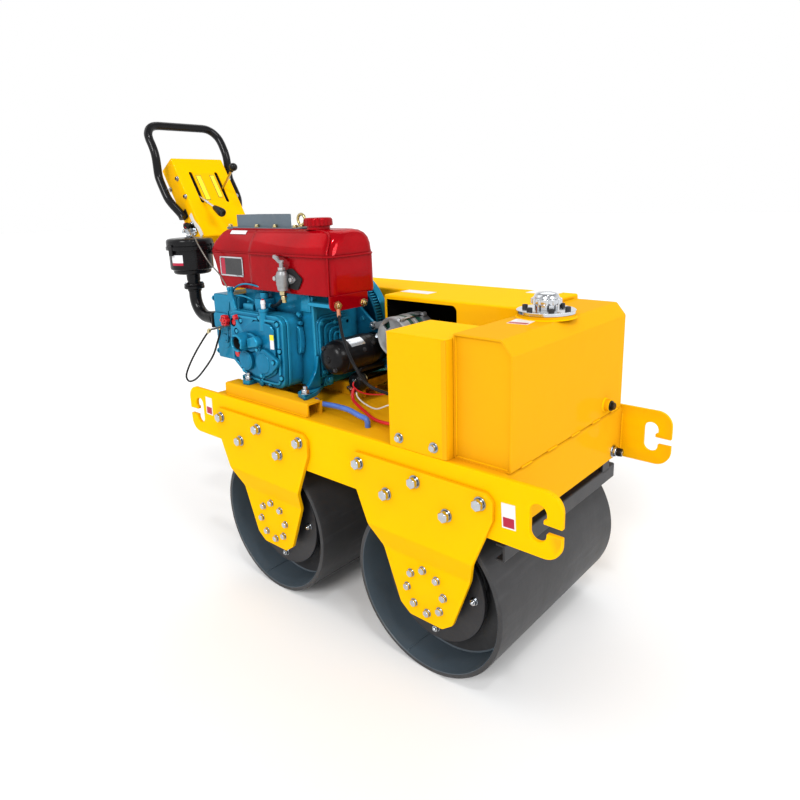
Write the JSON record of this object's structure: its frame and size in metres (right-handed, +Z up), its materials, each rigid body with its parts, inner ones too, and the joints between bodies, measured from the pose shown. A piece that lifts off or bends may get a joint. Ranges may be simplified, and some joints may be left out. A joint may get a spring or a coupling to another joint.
{
  "type": "walk-behind double drum roller",
  "caption": "Walk-behind double drum roller: plate frame, two steel drums, single-cylinder diesel, oil tank, belt guard, tilting handle.",
  "frame": {"origin": "on the ground at the middle of the machine's length and width, handle included", "axes": "+X forward towards the oil tank, +Y to the machine's left, +Z up"},
  "size_m": [1.6562, 0.636, 1.3818],
  "materials": {
    "yellow_paint": "gloss",
    "drum_paint": "satin",
    "dark_steel": "satin",
    "zinc": "satin",
    "rubber": "matt",
    "engine_blue": "gloss",
    "tank_red": "gloss",
    "neck_grey": "satin",
    "brass": "satin",
    "black_gloss": "gloss",
    "cast_alloy": "satin",
    "chrome": "polished",
    "black_plastic": "gloss",
    "red_plastic": "gloss",
    "cable_black": "satin",
    "cable_wire": "satin",
    "cable_red": "satin",
    "cable_white": "satin",
    "hose_blue": "satin"
  },
  "bodies": {
    "chassis": {"right_side_plate": "yellow_paint", "left_side_plate": "yellow_paint", "deck": "yellow_paint", "front_legs": "yellow_paint", "rear_legs": "yellow_paint", "leg_bolts": "zinc", "hub_bolts": "zinc", "bearing_discs": "dark_steel", "rubber_buffers": "rubber", "bearing_housings": "dark_steel", "scrapers": "dark_steel", "engine_rails": "yellow_paint", "crankcase": "engine_blue", "gear_cover": "engine_blue", "cylinder_head": "engine_blue", "fuel_tank": "tank_red", "fuel_cap": "tank_red", "hopper_neck": "neck_grey", "lifting_ring": "brass", "fuel_tap": "zinc", "air_filter": "black_gloss", "intake_pipe": "black_gloss", "exhaust_box": "dark_steel", "starter": "black_gloss", "starter_solenoid": "brass", "alternator": "cast_alloy", "belt_guard": "yellow_paint", "hydraulic_tank": "yellow_paint", "filler_flange": "zinc", "breather_cap": "chrome", "battery_box": "yellow_paint", "handle_bracket": "yellow_paint", "stop_bracket": "black_gloss", "stop_knob": "red_plastic", "stop_cable": "cable_black", "throttle_cable": "cable_wire", "ground_cable": "cable_black", "battery_cable": "cable_red", "solenoid_cables": "cable_white", "drain_hose": "hose_blue", "fuel_hose": "cable_black"},
    "front_drum": {"front_drum_shell": "drum_paint", "front_drum_bulkheads": "drum_paint"},
    "rear_drum": {"rear_drum_shell": "drum_paint", "rear_drum_bulkheads": "drum_paint"},
    "flywheel": {"flywheel": "engine_blue"},
    "handle": {"handle_column": "yellow_paint", "console": "yellow_paint", "handlebar": "black_gloss", "lever_rods": "zinc", "lever_knobs": "black_plastic", "throttle_lever": "zinc"}
  },
  "joints": [
    {"name": "front_drum_spin", "type": "hinge", "parent": "chassis", "child": "front_drum", "pos_m": [0.4761, 0, 0.213], "axis": [0, 1, 0], "continuous": true},
    {"name": "rear_drum_spin", "type": "hinge", "parent": "chassis", "child": "rear_drum", "pos_m": [-0.0879, 0, 0.213], "axis": [0, 1, 0], "continuous": true},
    {"name": "flywheel_spin", "type": "hinge", "parent": "chassis", "child": "flywheel", "pos_m": [-0.0789, 0.045, 0.751], "axis": [0, 1, 0], "continuous": true},
    {"name": "handle_tilt", "type": "hinge", "parent": "chassis", "child": "handle", "pos_m": [-0.3459, 0, 0.546], "axis": [0, -1, 0], "range_deg": [0, 35], "deforming": ["throttle_cable"]}
  ]
}
